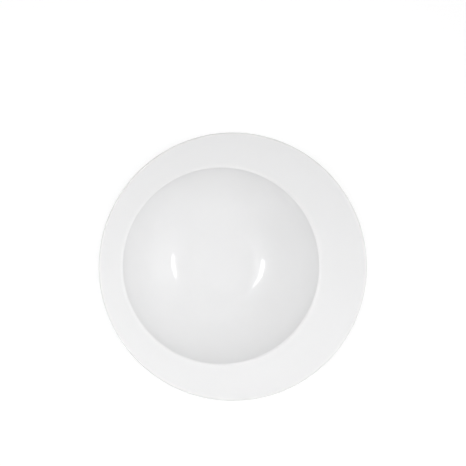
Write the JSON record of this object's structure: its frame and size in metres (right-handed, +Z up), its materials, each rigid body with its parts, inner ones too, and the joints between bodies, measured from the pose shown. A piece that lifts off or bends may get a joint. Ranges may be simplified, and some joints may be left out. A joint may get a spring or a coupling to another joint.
{
  "type": "rimmed soup plate",
  "caption": "White glazed porcelain soup plate with a deep round well set off centre in a broad, nearly flat rim.",
  "frame": {"origin": "on the table, below the centre of the round lip", "axes": "+Z up, +X towards the wide side of the rim, +Y along the plate's other horizontal direction; XZ is the mirror plane"},
  "size_m": [0.24, 0.24, 0.0643],
  "materials": {
    "porcelain_body": "matte fired porcelain, ground smooth on the standing ring",
    "glaze_coat": "glossy clear white glaze",
    "foot_recess_glaze": "glossy clear white glaze"
  },
  "bodies": {
    "root": {"porcelain_body": "porcelain_body", "glaze_coat": "glaze_coat", "foot_recess_glaze": "foot_recess_glaze"}
  },
  "joints": []
}
